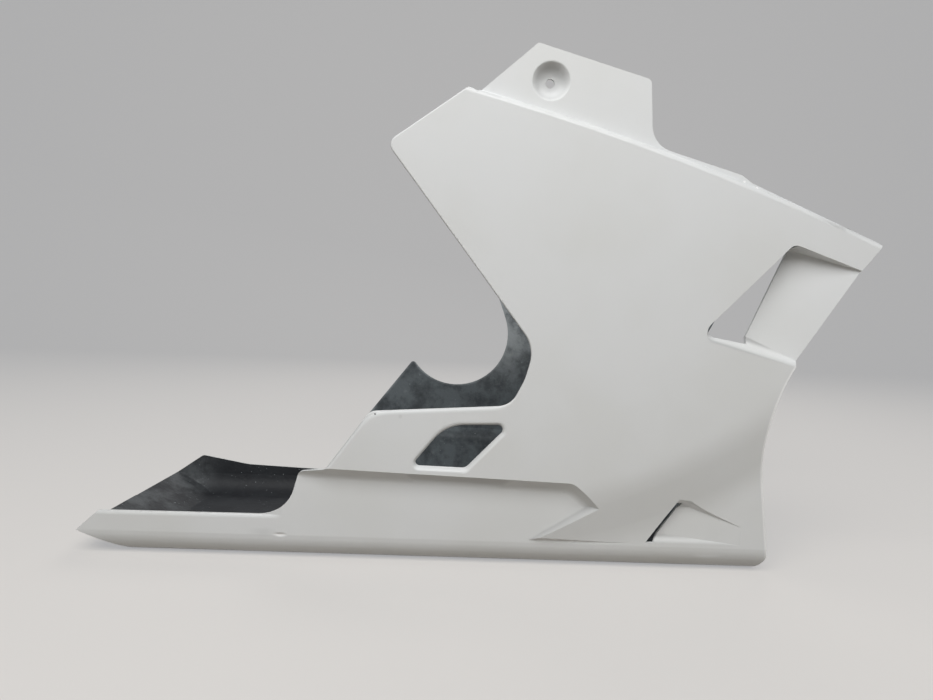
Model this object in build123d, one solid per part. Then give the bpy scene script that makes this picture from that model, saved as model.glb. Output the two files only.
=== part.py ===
# Belly pan of a motorcycle: one moulded fibreglass shell, open at the top, front and tail.
# X runs forward, Z up, and the flat keel lies on Z = 0. The near side is -Y.
import os
from math import acos, atan2, cos, hypot, radians, sin, tan

from build123d import *

# Laminate and cross-section (mm, degrees)
wall = 3.0                    # laminate thickness
lean = 3.5                    # the side walls lean outwards by this angle
panel_half_width = 134.0      # side panel, measured at the keel's height
channel_depth = 12.0          # the tail and the side channel lie this far inside the panel
chine = 30.0                  # corner radius between the wall and the keel

# Tail: the keel kicks up behind the knee
knee_x = -345.0
tail_tip = (-401.0, 26.0)

# Side channel: a step under the panel that ends in a pointed nose
crease_rear = (-134.0, 102.5)
shoulder = (112.5, 94.8)
nose = (145.5, 67.5)
channel_return = (75.0, 22.0)
step_draft = 40.0
step_blend = 9.0
shoulder_blend = 24.0

# Tuck: a wide round turn from the panel in to the lower front
tuck_centre = (-3.0, 551.0)
tuck_radius = 475.0           # the panel starts to turn in at this distance from the centre
tuck_slope = 12.0
tuck_blend = 120.0            # radius of the bends at both ends of the slope

# Joggled flange above the bowed top crease
top_crease = ((-6.0, 478.0), (401.0, 342.0))
crease_bow = 9.0
joggle = 9.0
joggle_blends = (5.0, 2.0)    # radii at the crease and at the flange's foot

# Fastener dimple in the flange
dimple_at = (72.5, 487.5)
dimple_mouth = 36.0
dimple_floor = 22.0
dimple_depth = 11.0
dimple_blends = (2.0, 8.0)    # radii at the mouth and at the floor
hole_diameter = 9.0

# Front duct: a strip that sinks from the front edge to an opening behind it
duct_rear = (225.7, 246.0)
duct_top = (314.0, 340.5)
duct_front = ((381.0, 317.0), (326.0, 220.5))
strip_rear = ((317.0, 337.0), (280.5, 243.0))
duct_sink = (2.0, 9.0, 20.0)  # strip's depth at its front top, front bottom and rear top
duct_drafts = (8.0, 38.0)     # lean of the upper and lower walls
duct_corners = (9.0, 11.0)    # radii at the top and rear corners
lip_widths = (4.5, 13.0)      # the lower wall's height at the opening's rear corner and at the front edge
opening_corner = 9.0

# Louvre at the lower front: a ramp that sinks rearwards to a slot
slot = ((220.0, 74.5), (192.0, 31.0))
slot_width = 8.0
louvre_shoulder = (236.0, 74.5)
louvre_front = ((291.0, 50.0), (291.0, 31.0))
louvre_depth = 8.0
louvre_draft = 50.0

# Cut-out of the near side, as (x, z, corner radius), with a rim that is rolled inwards
cutout = ((-53.0, 107.2, 4.2), (2.2, 106.0, 9.0), (46.0, 152.8, 5.3), (-18.7, 150.5, 40.0))
rim_depth = 4.0
rim_draft = 30.0
rim_blend = 4.0               # outer radius where the rim leaves the panel

# Trimmed outlines, as (x, z, corner radius)
near_edge = (
    (-377.0, 48.0, 10.0),
    (-182.0, 49.0, 38.0),
    (-168.5, 97.0, 9.0),
    (-140.0, 101.0, 8.0),
    (-95.0, 163.0, 13.0),
    (45.5, 172.6, 22.0),
    (58.5, 199.0, 60.0),
    (67.0, 231.5, 35.0),
    (-83.0, 424.0, 9.5),
)
far_edge = (
    (-364.0, 52.0, 8.0),
    (-300.0, 41.0, 90.0),
    (-170.0, 36.0, 30.0),
    (-148.0, 86.0, 12.0),
    (-134.6, 117.0, 20.0),
    (-69.4, 200.9, 0.0),
)
hump_radius = 4.0             # corner where the last edge meets the notch
far_corner = (-8.0, 432.0, 9.5)
notch_centre = (-13.6, 232.5)
notch_radius = 72.0
edge_radius = 1.5             # outer edge of the near panel along the engine bay
flange_edge = (
    (-6.0, 478.0, 1.0),
    (3.0, 474.0, 0.0),
    (59.0, 522.0, 3.0),
    (168.0, 491.5, 6.0),
    (173.0, 431.0, 26.0),
    (261.0, 405.6, 3.0),
    (272.0, 398.0, 2.0),
)
front_edge = (
    (402.0, 344.0, 2.0),
    (381.0, 316.0, 40.0),
    (297.6, 171.0, 180.0),
    (320.0, 17.0, 12.0),
    (305.0, -20.0, 0.0),
)

# Raw stock that the outlines trim away
stock_height = 560.0
stock_below = 20.0
reach = 1600.0
open_share = 0.3              # share of the wall by which a pocket's open edge is cut free

slope = tan(radians(lean))
outward = Vector(0, -cos(radians(lean)), -sin(radians(lean)))
upward = Vector(0, -sin(radians(lean)), cos(radians(lean)))
forward = Vector(1, 0, 0)


def on_wall(point, depth=0.0):
    """Point of the near panel at (x, z), moved inwards by depth."""
    x, z = point
    return Vector(x, depth - panel_half_width - slope * z, z)


def half_space(points, toward, grow=0.0):
    """Block on one side of the plane through three points, moved back by grow."""
    a, b, c = points
    normal = (b - a).cross(c - a).normalized()
    if normal.dot(toward - a) < 0:
        normal = -normal
    base = Plane(origin=a - normal * grow, z_dir=normal)
    return base * Box(reach, reach, reach, align=(Align.CENTER, Align.CENTER, Align.MIN))


def leaning(start, end, draft, depth, base=0.0):
    """Three points of a face that goes in from a line on the panel and rises by a draft."""
    rise = depth * tan(radians(draft))
    return on_wall(start, base), on_wall(end, base), on_wall((start[0], start[1] + rise), base + depth)


def shared(first, *others):
    """Room that all of the blocks have in common."""
    for other in others:
        first = first & other
    return first


def moved(point, target, distance):
    """Point of a side view, moved by a distance towards another."""
    dx, dz = target[0] - point[0], target[1] - point[1]
    share = distance / hypot(dx, dz)
    return point[0] + dx * share, point[1] + dz * share


def between(a, b):
    return (a[0] + b[0]) / 2, (a[1] + b[1]) / 2


def pair(solid):
    return [solid, mirror(solid, about=Plane.XZ)]


def outline(corners):
    """Face in the XZ plane through the corners, each with its own radius."""
    points = [(x, z) for x, z, radius in corners]
    radii = [radius for x, z, radius in corners]
    return Plane.XZ * make_face(FilletPolyline(*points, radius=radii, close=True))


def in_panel(point):
    """Side-view point in the plane of the near panel."""
    return point[0], point[1] / cos(radians(lean))


def panel_plane():
    return Plane(origin=on_wall((0.0, 0.0)), x_dir=forward, z_dir=outward)


def near_half():
    return half_space((Vector(0, 0, 0), Vector(1, 0, 0), Vector(0, 0, 1)), outward)


def trough(half_width, chine, inset):
    """Long block inside the walls and keel, moved inwards by inset."""
    low = half_width + slope * inset - inset
    high = half_width + slope * stock_height - inset
    face = Polygon((-low, inset), (low, inset), (high, stock_height), (-high, stock_height), align=None)
    if chine > inset:
        face = fillet(face.vertices().sort_by(Axis.Y)[:2], chine - inset)
    return extrude(Plane.YZ * face, reach / 2, both=True)


def belly(inset):
    """Trough of the belly, which lies inside the panels."""
    return trough(panel_half_width - channel_depth, chine, inset)


def tuck(grow):
    """Room outside the surface that turns from the near panel in to the lower front."""
    turn = radians(tuck_slope)
    run, drop = tuck_blend * sin(turn), tuck_blend * (1 - cos(turn))
    end = tuck_radius + 2 * run + (channel_depth - 2 * drop) / tan(turn)

    def crown(share):
        radius = tuck_blend - grow
        return tuck_radius + radius * sin(turn * share), tuck_blend - radius * cos(turn * share)

    def hollow(share):
        radius = tuck_blend + grow
        return end - radius * sin(turn * share), channel_depth - tuck_blend + radius * cos(turn * share)

    curve = ThreePointArc(crown(0), crown(0.5), crown(1)) + Line(crown(1), hollow(1))
    curve = curve + ThreePointArc(hollow(1), hollow(0.5), hollow(0))
    outside = -panel_half_width
    corners = (reach / 2, hollow(0)[1]), (reach / 2, outside), (tuck_radius, outside)
    rest = Polyline(hollow(0), *corners, crown(0))
    centre = on_wall(tuck_centre)
    profile = Plane(origin=centre, x_dir=forward, z_dir=upward) * make_face((curve + rest).edges())
    return revolve(profile, Axis(centre, outward))


def underside(grow):
    """Room under the near tuck, where the belly's chine runs on to the front."""
    start, end = (knee_x, chine), (nose[0], chine)
    slant = (on_wall(start, channel_depth), on_wall(end, channel_depth),
             on_wall((knee_x, chine + channel_depth)))
    return shared(half_space(slant, on_wall(nose, -reach), grow), near_half()) - belly(grow)


def channel(grow):
    """Room of the near side channel, under the panel's step and behind its nose."""
    drop = channel_depth * tan(radians(step_draft))
    inside = on_wall(between(crease_rear, channel_return), -channel_depth)
    step = leaning(crease_rear, shoulder, -step_draft, channel_depth)
    nose_face = (on_wall(shoulder), on_wall(nose),
                 on_wall(moved(nose, channel_return, drop), channel_depth))
    return_face = (on_wall(nose), on_wall(channel_return),
                   on_wall(moved(nose, shoulder, drop), channel_depth))
    block = half_space(step, inside, grow) & half_space(nose_face, inside, grow)
    block = fillet(block.edges().sort_by_distance(on_wall(shoulder))[0], shoulder_blend + grow)
    block = shared(block, half_space(return_face, inside, grow), near_half())
    room = block - belly(grow)
    middle = between(crease_rear, shoulder)
    foot = on_wall((middle[0], middle[1] - drop), channel_depth)
    return fillet(room.edges().sort_by_distance(foot)[0], step_blend + grow)


def tail_kick(grow):
    """Room under the tail, where the keel rises from the knee to the tip."""
    knee, tip = Vector(knee_x, 0, 0), Vector(tail_tip[0], 0, tail_tip[1])
    across = knee + Vector(0, panel_half_width, 0)
    return half_space((knee, tip, across), Vector(tail_tip[0], 0, 0), grow)


def above_crease(grow):
    """Everything over the near side's bowed top crease."""
    (x0, z0), (x1, z1) = (in_panel(point) for point in top_crease)
    span = hypot(x1 - x0, z1 - z0)
    radius = span**2 / (8 * crease_bow) + crease_bow / 2
    back = radius - crease_bow
    centre = ((x0 + x1) / 2 + back * (z1 - z0) / span, (z0 + z1) / 2 - back * (x1 - x0) / span)
    disc = panel_plane() * Pos(*centre) * Circle(radius - grow)
    return near_half() - extrude(disc, reach / 4, both=True)


def joggled(inset):
    """Trough whose walls step in to the flange above the crease, with rounded bends."""
    room = above_crease(inset) - trough(panel_half_width - joggle, 0.0, inset)
    body = trough(panel_half_width, 0.0, inset) - pair(room)
    for bends, radius in ((slice(2, 4), joggle_blends[0] - inset), (slice(0, 2), joggle_blends[1] + inset)):
        arcs = body.edges().filter_by(GeomType.CIRCLE).filter_by(lambda arc: arc.radius > reach)
        arcs = arcs.sort_by(lambda arc: abs(arc.center().Y) - slope * arc.center().Z)
        body = fillet(arcs[bends], radius)
    return body


def duct(grow):
    """Sunken strip of the near front duct. Its rear edge stays open."""
    deep = duct_sink[2]
    inside = on_wall(between(duct_front[0], strip_rear[1]), -wall)
    floor = (on_wall(duct_front[0], duct_sink[0]), on_wall(duct_front[1], duct_sink[1]),
             on_wall(strip_rear[0], duct_sink[2]))
    rear = leaning(duct_rear, duct_top, 0.0, deep)
    pocket = shared(
        half_space(leaning(duct_top, duct_front[0], -duct_drafts[0], deep), inside, grow),
        half_space(leaning(duct_rear, duct_front[1], duct_drafts[1], deep), inside, grow),
        half_space(rear, inside, -grow * open_share),
        half_space(floor, inside, grow),
    )
    for corner, radius in zip((duct_top, duct_rear), duct_corners):
        pocket = fillet(pocket.edges().sort_by_distance(on_wall(corner))[0], radius + grow)
    if grow:
        return pocket
    lip = [(x, z + width) for (x, z), width in zip((duct_rear, duct_front[1]), lip_widths)]
    hole = shared(
        half_space(leaning(duct_top, duct_front[0], 0.0, deep), inside),
        half_space(leaning(*lip, 0.0, deep), inside),
        half_space(rear, inside),
        near_half(),
    )
    for corner, radius in ((duct_top, duct_corners[0]), (lip[0], opening_corner)):
        hole = fillet(hole.edges().sort_by_distance(on_wall(corner))[0], radius)
    return pocket + (hole & half_space(leaning(*strip_rear, 0.0, deep), on_wall(duct_rear)))


def louvre(grow):
    """Sunken ramp in front of the near slot. Its rear edge stays open."""
    def face(start, end, draft):
        return leaning(start, end, draft, louvre_depth, channel_depth)

    (top_x, top_z), (bottom_x, bottom_z) = slot
    inside = on_wall(between(louvre_shoulder, slot[1]), channel_depth - wall)
    floor = (on_wall(louvre_front[0], channel_depth), on_wall(louvre_front[1], channel_depth),
             on_wall(slot[1], channel_depth + louvre_depth))
    mouth = shared(
        half_space(face(slot[0], louvre_shoulder, -louvre_draft), inside, grow),
        half_space(face(louvre_shoulder, louvre_front[0], -louvre_draft), inside, grow),
        half_space(face(slot[1], louvre_front[1], louvre_draft), inside, grow),
        half_space(face(*slot, 0.0), inside, -grow * open_share),
        near_half(),
    )
    pocket = mouth & half_space(floor, inside, grow)
    if grow:
        return pocket
    ramp_edge = ((top_x + slot_width, top_z), (bottom_x + slot_width, bottom_z))
    hole = shared(
        half_space(face(slot[0], louvre_shoulder, 0.0), inside),
        half_space(face(slot[1], louvre_front[1], 0.0), inside),
        half_space(face(*slot, 0.0), inside),
        half_space(face(*ramp_edge, 0.0), on_wall(slot[0])),
        near_half(),
    )
    return pocket + hole


def dimple(grow):
    """Bowl-shaped dimple in the near flange, with the fastener's hole."""
    flare = (dimple_mouth - dimple_floor) / 2 / dimple_depth
    face = Plane(origin=on_wall(dimple_at, joggle), z_dir=outward)
    rise = dimple_depth + grow + joggle
    low = dimple_floor / 2 + grow * (hypot(1, flare) - flare)
    bowl = Cone(low, low + rise * flare, rise, align=(Align.CENTER, Align.CENTER, Align.MIN))
    bowl = fillet(bowl.edges().filter_by(GeomType.CIRCLE).sort_by(Axis.Z)[0], dimple_blends[1] + grow)
    pocket = face * Pos(0, 0, -dimple_depth - grow) * bowl
    if grow:
        return pocket
    return pocket + face * Cylinder(hole_diameter / 2, 4 * dimple_depth)


def dimple_mouths(body):
    """Round edges where the dimples meet the flange."""
    rounds = body.edges().filter_by(GeomType.CIRCLE)
    return [edge for edge in rounds if abs(edge.radius - dimple_mouth / 2) < wall / 10]


def rim(grow):
    """Rolled rim of the near cut-out, with the cut-out through it."""
    spread = grow * (1 - sin(radians(rim_draft))) / cos(radians(rim_draft))
    face = panel_plane()
    points = [in_panel((x, z)) for x, z, radius in cutout]
    hole = make_face(FilletPolyline(*points, radius=[radius for x, z, radius in cutout], close=True))
    base = offset(hole, spread) if grow else hole
    base = face * Pos(0, 0, -rim_depth - grow) * base
    pocket = extrude(base, rim_depth + grow + wall, dir=outward, taper=-rim_draft)
    if grow:
        return pocket
    return pocket + extrude(face * hole, 4 * rim_depth, both=True)


def rimmed(inset):
    """Joggled trough with the cut-out's rim, which is rounded where it leaves the panel."""
    body = joggled(inset) - rim(inset)
    middle = on_wall(between(cutout[0], cutout[2]), inset)
    level = body.edges().filter_by(lambda edge: abs((edge.center() - middle).dot(outward)) < wall / 100)
    return fillet(level.sort_by_distance(middle)[:2 * len(cutout)], rim_blend - inset)


def skin(inset):
    """Solid bounded by the pan's surface, moved inwards by inset."""
    body = rimmed(inset) - pair(tuck(inset)) - pair(underside(inset))
    body = body - pair(channel(inset)) - tail_kick(inset)
    body = body - pair(dimple(inset))
    if not inset:
        body = fillet(dimple_mouths(body), dimple_blends[0])
    return body - pair(duct(inset)) - pair(louvre(inset))


def heel(corner):
    """Foot of the tail's rear edge, which runs from a top corner through the tail's tip."""
    share = (corner[1] + stock_below) / (corner[1] - tail_tip[1])
    return corner[0] + (tail_tip[0] - corner[0]) * share, -stock_below, 0.0


def notch_tangent():
    """Point where the far rear edge leaves the round notch."""
    dx, dz = far_corner[0] - notch_centre[0], far_corner[1] - notch_centre[1]
    angle = atan2(dz, dx) - acos(notch_radius / hypot(dx, dz))
    return notch_centre[0] + notch_radius * cos(angle), notch_centre[1] + notch_radius * sin(angle), 0.0


def trim():
    """Prisms of the near and far outlines, one on each side of the middle."""
    front = (*flange_edge, *front_edge)
    rear = (*far_edge, (*notch_centre, 0.0), notch_tangent(), far_corner)
    near = outline((heel(near_edge[0]), *near_edge, *front))
    far = outline((heel(far_edge[0]), *rear, *front))
    far = far - Plane.XZ * Pos(*notch_centre) * Circle(notch_radius)
    x, z, radius = far_edge[-1]
    far = fillet(far.vertices().sort_by_distance((x, 0, z))[0], hump_radius)
    depth = panel_half_width + slope * stock_height + joggle
    return extrude(near, depth) + extrude(far, -depth)


def bay_edges(body):
    """Outer edges of the near panel that the outline trims along the engine bay."""
    start = on_wall(crease_rear)
    trimmed = [edge for face in body.faces() if abs(face.normal_at().Y) < 0.001 for edge in face.edges()]
    level = [edge for edge in trimmed if abs((edge.center() - start).dot(outward)) < wall / 100]
    return [edge for edge in level if edge.center().X < nose[0] and edge.length > 2 * edge_radius]


belly_pan = (skin(0.0) - skin(wall)) & trim()
belly_pan = fillet(bay_edges(belly_pan), edge_radius)
os.makedirs("parts", exist_ok=True)
export_step(belly_pan, "parts/belly_pan.step")
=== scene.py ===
# Motorcycle belly pan: finish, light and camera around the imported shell
import math

import bmesh
import bpy
from mathutils import Matrix, Vector
from mathutils.bvhtree import BVHTree


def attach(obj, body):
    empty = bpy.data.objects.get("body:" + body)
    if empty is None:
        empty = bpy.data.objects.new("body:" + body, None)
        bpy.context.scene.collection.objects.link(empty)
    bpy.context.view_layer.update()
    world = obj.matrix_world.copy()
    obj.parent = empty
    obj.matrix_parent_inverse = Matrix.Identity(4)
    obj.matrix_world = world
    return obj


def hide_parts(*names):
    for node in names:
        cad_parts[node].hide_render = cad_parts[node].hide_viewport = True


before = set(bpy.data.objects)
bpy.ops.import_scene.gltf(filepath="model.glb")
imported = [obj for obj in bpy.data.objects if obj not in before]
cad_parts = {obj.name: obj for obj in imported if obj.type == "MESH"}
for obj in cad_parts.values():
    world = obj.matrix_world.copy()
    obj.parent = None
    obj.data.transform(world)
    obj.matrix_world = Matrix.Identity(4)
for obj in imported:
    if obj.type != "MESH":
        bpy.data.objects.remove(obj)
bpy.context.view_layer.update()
mm = 0.001
allRound = (1, 1, 1)
sideView = (1, 0, 1)   # leaves the width out, so that both sides of the pan match


# Shader maths: a wrapped socket that adds Math nodes as it is used

class Signal:
    def __init__(self, finish, socket):
        self.finish = finish
        self.socket = socket

    def __add__(self, other):
        return self.finish.maths("ADD", self, other)

    def __radd__(self, other):
        return self.finish.maths("ADD", other, self)

    def __sub__(self, other):
        return self.finish.maths("SUBTRACT", self, other)

    def __rsub__(self, other):
        return self.finish.maths("SUBTRACT", other, self)

    def __mul__(self, other):
        return self.finish.maths("MULTIPLY", self, other)

    def __rmul__(self, other):
        return self.finish.maths("MULTIPLY", other, self)

    def __truediv__(self, other):
        return self.finish.maths("DIVIDE", self, other)

    def __rtruediv__(self, other):
        return self.finish.maths("DIVIDE", other, self)


class Finish:
    def __init__(self, name):
        self.material = bpy.data.materials.new(name)
        self.material.use_nodes = True
        self.tree = self.material.node_tree
        self.tree.nodes.clear()
        self.output = self.node("ShaderNodeOutputMaterial")
        self.place = Signal(self, self.node("ShaderNodeTexCoord").outputs["Object"])

    def node(self, kind, settings=None, sockets=None):
        made = self.tree.nodes.new(kind)
        for name, value in (settings or {}).items():
            setattr(made, name, value)
        for name, value in (sockets or {}).items():
            if isinstance(value, Signal):
                self.tree.links.new(value.socket, made.inputs[name])
            else:
                made.inputs[name].default_value = value
        return made

    def maths(self, operation, *values, clamp=False):
        settings = {"operation": operation, "use_clamp": clamp}
        made = self.node("ShaderNodeMath", settings, dict(enumerate(values)))
        return Signal(self, made.outputs[0])

    def vector(self, operation, *values):
        made = self.node("ShaderNodeVectorMath", {"operation": operation}, dict(enumerate(values)))
        return Signal(self, made.outputs[0])

    def parts(self, vector):
        made = self.node("ShaderNodeSeparateXYZ", {}, {0: vector})
        return [Signal(self, made.outputs[axis]) for axis in range(3)]

    def normal(self):  # the shell's own
        return Signal(self, self.node("ShaderNodeNewGeometry").outputs["Normal"])

    def mix(self, share, first, second):  # of two colours
        made = self.node("ShaderNodeMix", {"data_type": "RGBA"}, {0: share, 6: first, 7: second})
        return Signal(self, made.outputs[2])

    def blend(self, share, first, second):  # of two directions
        made = self.node("ShaderNodeMix", {"data_type": "VECTOR"}, {0: share, 4: first, 5: second})
        return self.vector("NORMALIZE", Signal(self, made.outputs[1]))

    def ramp(self, value, low, high):  # 0 below low, 1 above high, smooth between
        settings = {"interpolation_type": "SMOOTHSTEP"}
        made = self.node("ShaderNodeMapRange", settings, {"Value": value, "From Min": low, "From Max": high})
        return Signal(self, made.outputs[0])

    def noise(self, size, detail, rough):
        sockets = {"Vector": self.place, "Scale": 1 / size, "Detail": detail, "Roughness": rough}
        return Signal(self, self.node("ShaderNodeTexNoise", {}, sockets).outputs[0])

    def blotches(self, size, detail, rough, low, high):
        return self.ramp(self.noise(size, detail, rough), low, high)

    def bump(self, height, depth, under=None):
        sockets = {"Height": height, "Distance": depth, "Strength": 1.0}
        if under:
            sockets["Normal"] = under
        return Signal(self, self.node("ShaderNodeBump", {}, sockets).outputs[0])

    def span(self, at, stretch):  # distance to a place, with each axis stretched
        apart = self.vector("MULTIPLY", self.vector("SUBTRACT", self.place, at), stretch)
        made = self.node("ShaderNodeVectorMath", {"operation": "LENGTH"}, {0: apart})
        return Signal(self, made.outputs["Value"])

    def spot(self, at, radius, soft, stretch=allRound):  # 1 inside a blob, 0 outside
        return 1 - self.ramp(self.span(at, stretch), radius * (1 - soft), radius)

    def beside(self, start, end):  # distance above a line of the side view
        x, y, z = self.parts(self.place)
        run, rise = end[0] - start[0], end[1] - start[1]
        length = math.hypot(run, rise)
        return (z - start[1]) * (run / length) - (x - start[0]) * (rise / length)

    def surface(self, sockets):
        made = self.node("ShaderNodeBsdfPrincipled", {}, sockets)
        self.tree.links.new(made.outputs[0], self.output.inputs[0])
        return self.material


# The near side's upper edges turn in. Lines are start and end in the side view, x and z

edgeSet = {
    "bay": ((-89 * mm, 163.4 * mm), (33 * mm, 171.7 * mm)),
    "step": ((-138 * mm, 103.8 * mm), (-98.6 * mm, 158.1 * mm)),
    "tail": ((-377 * mm, 48 * mm), (-182 * mm, 49 * mm)),
    "cornerBlend": 20 * mm,
    "width": 4.5 * mm,
    "drop": 1.6 * mm,
    "nearSide": (-50 * mm, 0),           # the next five fade the edges in or out, as low and high
    "foot": (100 * mm, 106 * mm),
    "top": (185 * mm, 200 * mm),
    "bayEnd": (25 * mm, 45 * mm),
    "tailEnd": (-200 * mm, -185 * mm),
}


def turnedIn(finish, past):  # 0 on the panel, 1 at the edge
    share = finish.maths("ADD", past / edgeSet["width"], 1.0, clamp=True)
    return share * share


def rolledEdge(finish):
    x, y, z = finish.parts(finish.place)
    bay = finish.beside(*edgeSet["bay"])
    step = finish.beside(*edgeSet["step"])
    past = finish.maths("SMOOTH_MAX", bay, step, edgeSet["cornerBlend"])
    level = finish.ramp(z, *edgeSet["foot"]) * (1 - finish.ramp(z, *edgeSet["top"]))
    upper = turnedIn(finish, past) * level * (1 - finish.ramp(x, *edgeSet["bayEnd"]))
    lower = turnedIn(finish, finish.beside(*edgeSet["tail"])) * (1 - finish.ramp(x, *edgeSet["tailEnd"]))
    return (upper + lower) * (1 - finish.ramp(y, *edgeSet["nearSide"])) * -1


# Facets that the paint rounds off: their normals turn back to the wall's, least along a ridge above the line

softSet = {
    "wallLean": 0.061,
    "reachSoft": 0.2,
    "facets": {
        "noseReturn": {
            "line": ((75 * mm, 22 * mm), (145.5 * mm, 67.5 * mm)), "ridge": 4.5 * mm, "width": 6 * mm,
            "least": 0.75, "facing": 1, "tilt": (0.05, 0.15),
            "middle": (112 * mm, 0, 47 * mm), "size": 62 * mm, "stretch": sideView},
        "noseUnderside": {
            "line": ((70 * mm, 30 * mm), (182 * mm, 30 * mm)), "ridge": 2 * mm, "width": 3 * mm,
            "least": 0.9, "facing": -1, "tilt": (0.32, 0.42),
            "middle": (126 * mm, 0, 32 * mm), "size": 66 * mm, "stretch": (1, 0, 6)},
        "louvreSill": {
            "line": ((192 * mm, 31 * mm), (291 * mm, 31 * mm)), "ridge": 3 * mm, "width": 4.5 * mm,
            "least": 0.4, "facing": 1, "tilt": (0.32, 0.42),
            "middle": (240 * mm, 0, 36 * mm), "size": 62 * mm, "stretch": sideView},
        "louvreBrow": {
            "line": ((236 * mm, 74.5 * mm), (291 * mm, 50 * mm)), "ridge": -2 * mm, "width": 4.5 * mm,
            "least": 0.6, "facing": -1, "tilt": (0.32, 0.42),
            "middle": (258 * mm, 0, 64 * mm), "size": 50 * mm, "stretch": sideView},
        "ductLip": {
            "line": ((237.6 * mm, 245.3 * mm), (321.7 * mm, 221 * mm)), "ridge": 6 * mm, "width": 7.5 * mm,
            "least": 0.0, "facing": 1, "tilt": (0.32, 0.42),
            "middle": (282 * mm, 0, 236 * mm), "size": 56 * mm, "stretch": sideView},
    },
    "cutoutRim": {"middle": (-4 * mm, 0, 130 * mm), "size": 66 * mm, "soft": 0.1, "share": 0.6},
    "cutoutTilt": (0.0, 0.3),            # only the rim's faces that don't look up
    "creaseEnd": {"middle": (359.5 * mm, 0, 357.5 * mm), "size": 7 * mm, "soft": 0.5, "share": 0.8},
    "bowl": {"middle": (72.5 * mm, 0, 487.5 * mm), "size": 18.5 * mm, "soft": 0.1, "share": 0.5},
}


def facetReach(finish, facet):
    return finish.spot(facet["middle"], facet["size"], softSet["reachSoft"], facet["stretch"])


def patchShare(finish, patch):
    return finish.spot(patch["middle"], patch["size"], patch["soft"], sideView) * patch["share"]


def softFacets(finish):
    x, y, z = finish.parts(finish.place)
    normal = finish.normal()
    tilt = finish.parts(normal)[2]
    across = {0: 0.0, 1: finish.maths("SIGN", y), 2: -softSet["wallLean"]}
    wall = Signal(finish, finish.node("ShaderNodeCombineXYZ", {}, across).outputs[0])
    for facet in softSet["facets"].values():
        away = finish.maths("ABSOLUTE", finish.beside(*facet["line"]) - facet["ridge"])
        share = finish.ramp(away, 0.0, facet["width"]) * (1 - facet["least"]) + facet["least"]
        turned = finish.ramp(tilt * facet["facing"], *facet["tilt"]) * share
        normal = finish.blend(turned * facetReach(finish, facet), normal, wall)
    turned = 1 - finish.ramp(tilt, *softSet["cutoutTilt"])
    normal = finish.blend(turned * patchShare(finish, softSet["cutoutRim"]), normal, wall)
    for name in ("creaseEnd", "bowl"):
        normal = finish.blend(patchShare(finish, softSet[name]), normal, wall)
    return normal


# Marks in the paint, with painted shade and painted highlights among them

markSet = {
    "grimeAndShade": (0.045, 0.045, 0.045, 1.0),
    "chipAndHighlight": (0.95, 0.95, 0.95, 1.0),
    "lit": (1.0, 1.0, 1.0, 1.0),
    "spots": [  # colour, share, then place, size, softness and stretch
        ("grimeAndShade", 0.16, ((72.5 * mm, 0, 487.5 * mm), 18.5 * mm, 0.25, sideView)),  # painted shade in the bowl of the dimple
        ("grimeAndShade", 0.12, ((-64.5 * mm, -143.8 * mm, 158.5 * mm), 3 * mm, 0.9, allRound)),
        ("grimeAndShade", 0.9, ((-89.7 * mm, -143.8 * mm, 160.3 * mm), 1.3 * mm, 0.5, allRound)),
        ("grimeAndShade", 0.1, ((-206 * mm, -123.7 * mm, 30 * mm), 20 * mm, 1.0, (1, 0.2, 3.2))),  # painted shade beside the dent
        # painted highlight: the dent's crescent is painted white
        ("chipAndHighlight", 0.8, ((-188.3 * mm, -123.7 * mm, 27.6 * mm), 9 * mm, 0.7, (1, 0.2, 3.2))),
    ],
    "dent": ((-188.3 * mm, -123.7 * mm, 27.6 * mm), 9 * mm, 1.0, (1, 0.2, 3.2)),
    "dentDepth": 0.9 * mm,
    "chips": [  # place and size
        ((194.6 * mm, -132.7 * mm, 28.6 * mm), 2.2 * mm),
        ((264.0 * mm, -149.6 * mm, 399.5 * mm), 1.6 * mm),
        ((277.0 * mm, -149.2 * mm, 393.6 * mm), 2.0 * mm),
    ],
    "chipSoft": 0.5,
    "chipEdge": (1.5 * mm, 3.0, 0.55, 0.40, 0.50),   # size, detail, roughness and levels of the ragged edge
    "undersideTilt": (-0.65, -0.55),                 # painted light: the nose's underside is painted paler against the shade it lies in
    "frontLine": ((318.3 * mm, 28 * mm), (306.6 * mm, 109.3 * mm)),   # painted highlight along the front edge, then its arc
    "frontMiddle": (484.7 * mm, 0, 135.2 * mm),
    "frontRadius": 180 * mm,
    "frontJoin": (109 * mm, 110 * mm),
    "frontTop": (220 * mm, 223 * mm),
    "frontWidth": (0.8 * mm, 2.4 * mm),
    "frontFrom": (250 * mm, 260 * mm),
    "frontShare": 0.8,
}


def frontEdgeHighlight(finish):
    x, y, z = finish.parts(finish.place)
    line = finish.beside(*markSet["frontLine"])
    arc = finish.span(markSet["frontMiddle"], sideView) - markSet["frontRadius"]
    inside = line + (arc - line) * finish.ramp(z, *markSet["frontJoin"])
    level = (1 - finish.ramp(z, *markSet["frontTop"])) * finish.ramp(x, *markSet["frontFrom"])
    return (1 - finish.ramp(inside, *markSet["frontWidth"])) * level


def marksShadeAndHighlights(finish, colour):
    for name, share, spot in markSet["spots"]:
        colour = finish.mix(finish.spot(*spot) * share, colour, markSet[name])
    # painted highlight along the front edge
    colour = finish.mix(frontEdgeHighlight(finish) * markSet["frontShare"], colour, markSet["chipAndHighlight"])
    # painted light on the nose's underside, lifting its shade
    tilt = finish.parts(finish.normal())[2]
    under = 1 - finish.ramp(tilt, *markSet["undersideTilt"])
    reach = facetReach(finish, softSet["facets"]["noseUnderside"])
    colour = finish.mix(under * reach, colour, markSet["lit"])
    ragged = finish.blotches(*markSet["chipEdge"])
    for at, size in markSet["chips"]:
        colour = finish.mix(finish.spot(at, size, markSet["chipSoft"]) * ragged, colour, markSet["chipAndHighlight"])
    return colour


# White paint of the outside

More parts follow.
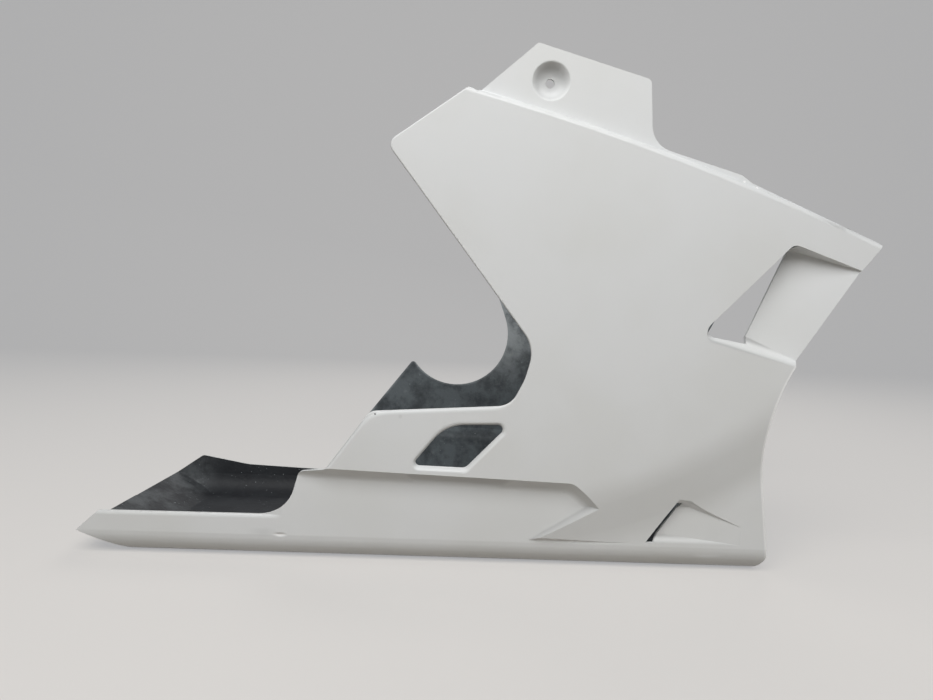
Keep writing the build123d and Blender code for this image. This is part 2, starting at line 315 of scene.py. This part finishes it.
paintSet = {
    "white": (0.768, 0.783, 0.788, 1.0),
    "shade": (0.735, 0.747, 0.740, 1.0),
    "clouds": (160 * mm, 3.0, 0.55, 0.35, 0.7),   # size, detail, roughness and levels
    "roughness": 0.36,
    "cloudRoughness": 0.05,
    "peel": (2.2 * mm, 2.0, 0.55),
    "peelDepth": 0.02 * mm,
}


def paintFinish():
    finish = Finish("white_paint")
    clouds = finish.blotches(*paintSet["clouds"])
    colour = finish.mix(clouds, paintSet["white"], paintSet["shade"])
    surface = finish.bump(rolledEdge(finish), edgeSet["drop"], softFacets(finish))
    surface = finish.bump(finish.spot(*markSet["dent"]) * -1, markSet["dentDepth"], surface)
    return finish.surface({
        "Base Color": marksShadeAndHighlights(finish, colour),
        "Roughness": clouds * paintSet["cloudRoughness"] + paintSet["roughness"],
        "Normal": finish.bump(finish.noise(*paintSet["peel"]), paintSet["peelDepth"], surface),
    })


# Bare laminate of the inside

laminateSet = {
    "dark": (0.012, 0.0125, 0.015, 1.0),
    "worn": (0.150, 0.172, 0.184, 1.0),
    "dust": (0.46, 0.495, 0.51, 1.0),
    "patches": (45 * mm, 9.0, 0.68, 0.36, 0.64),          # size, detail, roughness and levels
    "smears": (24 * mm, 6.0, 0.7, 0.58, 0.80),
    "specks": (3.5 * mm, 2.0, 0.55, 0.70, 0.76),
    "fibres": (4 * mm, 3.0, 0.55),
    "fibreDepth": 0.4 * mm,
    "tail": (-375 * mm, -335 * mm),                       # smears fade in towards the tail's end
    "bay": (-190 * mm, -130 * mm),                        # painted shade: the worn patches fade out behind the bay, so the tail's inside is darker
    "wornLeast": 0.4,
    "wornPatches": 0.75,
    "tailShadeShare": 0.08,
    "smearShare": 0.05,
    "smearTail": 0.25,
    "smearBay": 0.25,
    "dusty": ((48 * mm, 150 * mm, 245 * mm), 105 * mm, 1.0),   # pale dust beside the notch
    "dustyLevels": (-0.6, 1.0),
    "tailDust": 0.15,
    "speckShare": 0.5,
    "notch": ((-13.6 * mm, 0, 232.5 * mm), 75 * mm, 0.03, sideView),
    "hump": ((-134.6 * mm, 117 * mm), (-75.5 * mm, 193 * mm)),
    "humpEnd": (-76 * mm, -70 * mm),
    "humpFoot": (95 * mm, 110 * mm),
    "rawEdge": 3.5 * mm,                                  # bare edge of the notch and the hump
    "rawLeast": 0.15,
    "rawSmears": 0.5,
    "rawPatches": 0.4,
    "farSide": (0, 50 * mm),
    "roughness": 0.55,
    "smearRoughness": 0.2,
    "specular": 0.25,
}


def rawEdge(finish):
    x, y, z = finish.parts(finish.place)
    hump = finish.ramp(finish.beside(*laminateSet["hump"]), -laminateSet["rawEdge"], 0.0)
    hump = hump * (1 - finish.ramp(x, *laminateSet["humpEnd"])) * finish.ramp(z, *laminateSet["humpFoot"])
    edge = finish.maths("MAXIMUM", finish.spot(*laminateSet["notch"]), hump)
    return edge * finish.ramp(y, *laminateSet["farSide"])


def laminateFinish():
    finish = Finish("bare_laminate")
    dust = laminateSet["dust"]
    patches = finish.blotches(*laminateSet["patches"])
    smears = finish.blotches(*laminateSet["smears"])
    specks = finish.blotches(*laminateSet["specks"])
    x = finish.parts(finish.place)[0]
    tail = 1 - finish.ramp(x, *laminateSet["tail"])
    bay = finish.ramp(x, *laminateSet["bay"])
    worn = patches * laminateSet["wornPatches"] + laminateSet["wornLeast"]
    # painted shade in the tail's inside
    worn = worn * (bay * (1 - laminateSet["tailShadeShare"]) + laminateSet["tailShadeShare"])
    smeared = tail * laminateSet["smearTail"] + bay * laminateSet["smearBay"] + laminateSet["smearShare"]
    dusty = finish.spot(*laminateSet["dusty"]) * finish.ramp(patches + smears, *laminateSet["dustyLevels"])
    raw = smears * laminateSet["rawSmears"] + patches * laminateSet["rawPatches"] + laminateSet["rawLeast"]
    colour = finish.mix(worn, laminateSet["dark"], laminateSet["worn"])
    colour = finish.mix(smears * smeared, colour, dust)
    colour = finish.mix(dusty, colour, dust)
    colour = finish.mix(tail * patches * laminateSet["tailDust"], colour, dust)
    colour = finish.mix(specks * laminateSet["speckShare"], colour, dust)
    colour = finish.mix(rawEdge(finish) * raw, colour, dust)
    return finish.surface({
        "Base Color": colour,
        "Roughness": smears * laminateSet["smearRoughness"] + laminateSet["roughness"],
        "Specular IOR Level": laminateSet["specular"],
        "Normal": finish.bump(finish.noise(*laminateSet["fibres"]), laminateSet["fibreDepth"]),
    })


# Trimmed edges

rimSet = {
    "pale": (0.70, 0.71, 0.70, 1.0),
    "raw": (0.42, 0.42, 0.41, 1.0),
    "chips": (6 * mm, 4.0, 0.55, 0.55, 0.75),   # size, detail, roughness and levels
    "roughness": 0.5,
    "chipRoughness": 0.2,
}


def rimFinish():
    finish = Finish("trimmed_edge")
    chips = finish.blotches(*rimSet["chips"])
    return finish.surface({
        "Base Color": finish.mix(chips, rimSet["pale"], rimSet["raw"]),
        "Roughness": chips * rimSet["chipRoughness"] + rimSet["roughness"],
    })


# The shell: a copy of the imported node, with its faces sorted into the finishes.
# It isn't merged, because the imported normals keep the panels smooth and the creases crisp

shellSet = {
    "name": "pan_shell",
    "node": "belly_pan",
    "thick": 6 * mm,              # a face with more material behind it belongs to a cut edge,
    "edgeOn": 0.5,                # unless it faces sideways more than this
    "probe": 0.1 * mm,
    "keelTop": 32 * mm,           # below this the keel's side counts too
    "wallFrom": 60 * mm,
    "wallTo": 110 * mm,
    "lift": 0.05,
}


def copyShell():
    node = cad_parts[shellSet["node"]]
    shell = bpy.data.objects.new(shellSet["name"], node.data.copy())
    bpy.context.scene.collection.objects.link(shell)
    shell.data.materials.clear()
    return shell


def awayFromBay(place):  # way out of the engine bay, near a place on the shell
    share = (abs(place.y) - shellSet["wallFrom"]) / (shellSet["wallTo"] - shellSet["wallFrom"])
    sideways = math.copysign(min(max(share, 0), 1), place.y)
    down = max(1 - place.z / shellSet["keelTop"], 0)
    return Vector((0, sideways, shellSet["lift"] - down))


def sortFaces(shell):  # 0 outside, 1 cut edge, 2 inside
    places = [vert.co for vert in shell.data.vertices]
    tree = BVHTree.FromPolygons(places, [face.vertices for face in shell.data.polygons])
    for face in shell.data.polygons:
        face.material_index = 0
        start = face.center - face.normal * shellSet["probe"]
        behind = tree.ray_cast(start, -face.normal, shellSet["thick"])[0]
        if not behind and abs(face.normal.y) < shellSet["edgeOn"]:
            face.material_index = 1
        elif face.normal.dot(awayFromBay(face.center)) < 0:
            face.material_index = 2


def makeShell():
    shell = copyShell()
    sortFaces(shell)
    for material in (paintFinish(), rimFinish(), laminateFinish()):
        shell.data.materials.append(material)
    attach(shell, "root")
    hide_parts(shellSet["node"])
    print("shell made,", sum(len(face.vertices) - 2 for face in shell.data.polygons), "triangles")


# Floor, with a backdrop that curves up behind

floorSet = {
    "size": 9.0,
    "behind": 2.6,
    "height": 4.0,
    "curve": 1.2,
    "curveSteps": 16,
    "colour": (0.315, 0.29, 0.258, 1.0),
    "unlit": (0, 0, 0, 1),
    "lift": (0.375, 0.38, 0.39, 1.0),   # seen by the camera and in reflections only
    "roughness": 0.8,
    "specular": 0.1,
}


def deselectAll():
    if bpy.context.object and bpy.context.object.mode != "OBJECT":
        bpy.ops.object.mode_set(mode="OBJECT")
    bpy.ops.object.select_all(action="DESELECT")


def selectEdges(piece, wanted):
    mesh = bmesh.from_edit_mesh(piece.data)
    for edge in mesh.edges:
        edge.select_set(all(wanted(vert.co) for vert in edge.verts))
    bmesh.update_edit_mesh(piece.data)


def floorFinish():
    finish = Finish("pale_floor")
    path = finish.node("ShaderNodeLightPath")
    camera = Signal(finish, path.outputs["Is Camera Ray"])
    glossy = Signal(finish, path.outputs["Is Glossy Ray"])
    seen = finish.maths("MAXIMUM", camera, glossy)
    return finish.surface({
        "Base Color": floorSet["colour"],
        "Roughness": floorSet["roughness"],
        "Specular IOR Level": floorSet["specular"],
        "Emission Color": finish.mix(seen, floorSet["unlit"], floorSet["lift"]),
        "Emission Strength": 1.0,
    })


def makeFloor():
    deselectAll()
    bpy.ops.mesh.primitive_plane_add(size=floorSet["size"])
    floor = bpy.context.object
    floor.name = "floor"
    bpy.ops.object.mode_set(mode="EDIT")
    selectEdges(floor, lambda place: place.y > 0)
    bpy.ops.transform.translate(value=(0, floorSet["behind"] - floorSet["size"] / 2, 0))
    bpy.ops.mesh.extrude_region_move(TRANSFORM_OT_translate={"value": (0, 0, floorSet["height"])})
    selectEdges(floor, lambda place: place.y > 0 and place.z < mm)
    bpy.ops.mesh.bevel(offset=floorSet["curve"], segments=floorSet["curveSteps"])
    bpy.ops.object.mode_set(mode="OBJECT")
    bpy.ops.object.shade_smooth()
    floor.data.materials.append(floorFinish())
    print("floor made")


# Light

lightSet = {
    "world": (0.96, 0.98, 1.0, 1.0),
    "worldStrength": 1.15,
    "lamps": [  # name, place, aim, size, watts
        ("key", (-0.1, -1.35, 1.55), (0, 0, 0.2), (2.4, 1.2), 40),
        ("rear", (0.3, 1.3, 1.6), (0, 0, 0.2), (1.6, 1.2), 14),
    ],
}


def makeLights():
    world = bpy.data.worlds.new("studio")
    bpy.context.scene.world = world
    world.use_nodes = True
    back = world.node_tree.nodes["Background"]
    back.inputs["Color"].default_value = lightSet["world"]
    back.inputs["Strength"].default_value = lightSet["worldStrength"]
    for name, place, aim, size, watts in lightSet["lamps"]:
        lamp = bpy.data.lights.new(name, "AREA")
        lamp.shape = "RECTANGLE"
        lamp.size, lamp.size_y = size
        lamp.energy = watts
        holder = bpy.data.objects.new(name, lamp)
        bpy.context.scene.collection.objects.link(holder)
        holder.location = place
        holder.rotation_euler = (Vector(aim) - Vector(place)).to_track_quat("-Z", "Y").to_euler()
    print("lights made")


# Camera

cameraSet = {
    "place": (-1.67 * mm, -810 * mm, 267.9 * mm),
    "forward": (0.00192, 0.99813, -0.06102),
    "up": (-0.03135, 0.06105, 0.99764),
    "focal": 672,        # pixels
    "imageWidth": 933,   # pixels
    "sensor": 36,
    "clipStart": 0.01,
}


def makeCamera():
    lens = bpy.data.cameras.new("photo")
    lens.sensor_width = cameraSet["sensor"]
    lens.lens = cameraSet["focal"] / cameraSet["imageWidth"] * lens.sensor_width
    lens.clip_start = cameraSet["clipStart"]
    camera = bpy.data.objects.new("photo", lens)
    bpy.context.scene.collection.objects.link(camera)
    back = -Vector(cameraSet["forward"]).normalized()
    right = Vector(cameraSet["up"]).cross(back).normalized()
    turn = Matrix((right, back.cross(right), back)).transposed()
    camera.matrix_world = Matrix.Translation(cameraSet["place"]) @ turn.to_4x4()
    bpy.context.scene.camera = camera
    print("camera made")


makeShell()
makeFloor()
makeLights()
makeCamera()
bpy.context.scene.view_settings.view_transform = "Standard"
